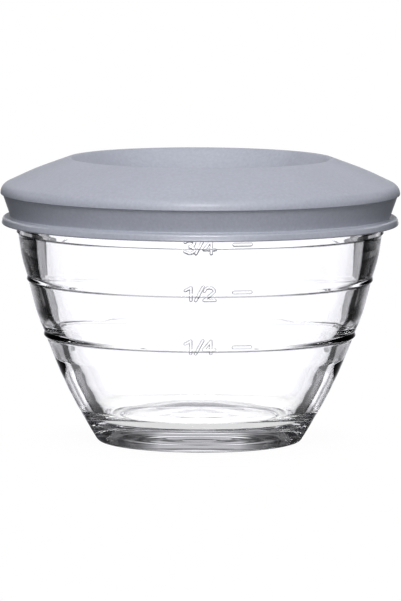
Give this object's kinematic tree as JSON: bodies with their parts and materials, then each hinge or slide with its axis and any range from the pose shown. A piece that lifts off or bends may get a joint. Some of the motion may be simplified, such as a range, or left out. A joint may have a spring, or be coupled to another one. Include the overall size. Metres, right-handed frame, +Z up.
{
  "type": "lidded prep bowl",
  "caption": "Small clear glass bowl with stepped sides and raised measuring marks, closed by a soft plastic lid that pushes onto the rim and whose sunken top takes another bowl.",
  "frame": {"origin": "centre of the circle that the bowl stands on, at the level of the table", "axes": "+Z up along the axis of the bowl, -Y towards the measuring marks, +X to the right as the marks are read"},
  "size_m": [0.0998, 0.0998, 0.071],
  "materials": {
    "clear_glass": "clear pressed glass, fire-polished",
    "lid_plastic": "soft grey-blue plastic with a fine matte skin"
  },
  "bodies": {
    "bowl": {"glass_bowl": "clear_glass"},
    "lid": {"lid": "lid_plastic"}
  },
  "joints": [
    {"name": "lid_lift", "type": "slide", "parent": "bowl", "child": "lid", "axis": [0, 0, 1], "range_m": [0, 0.05]}
  ]
}
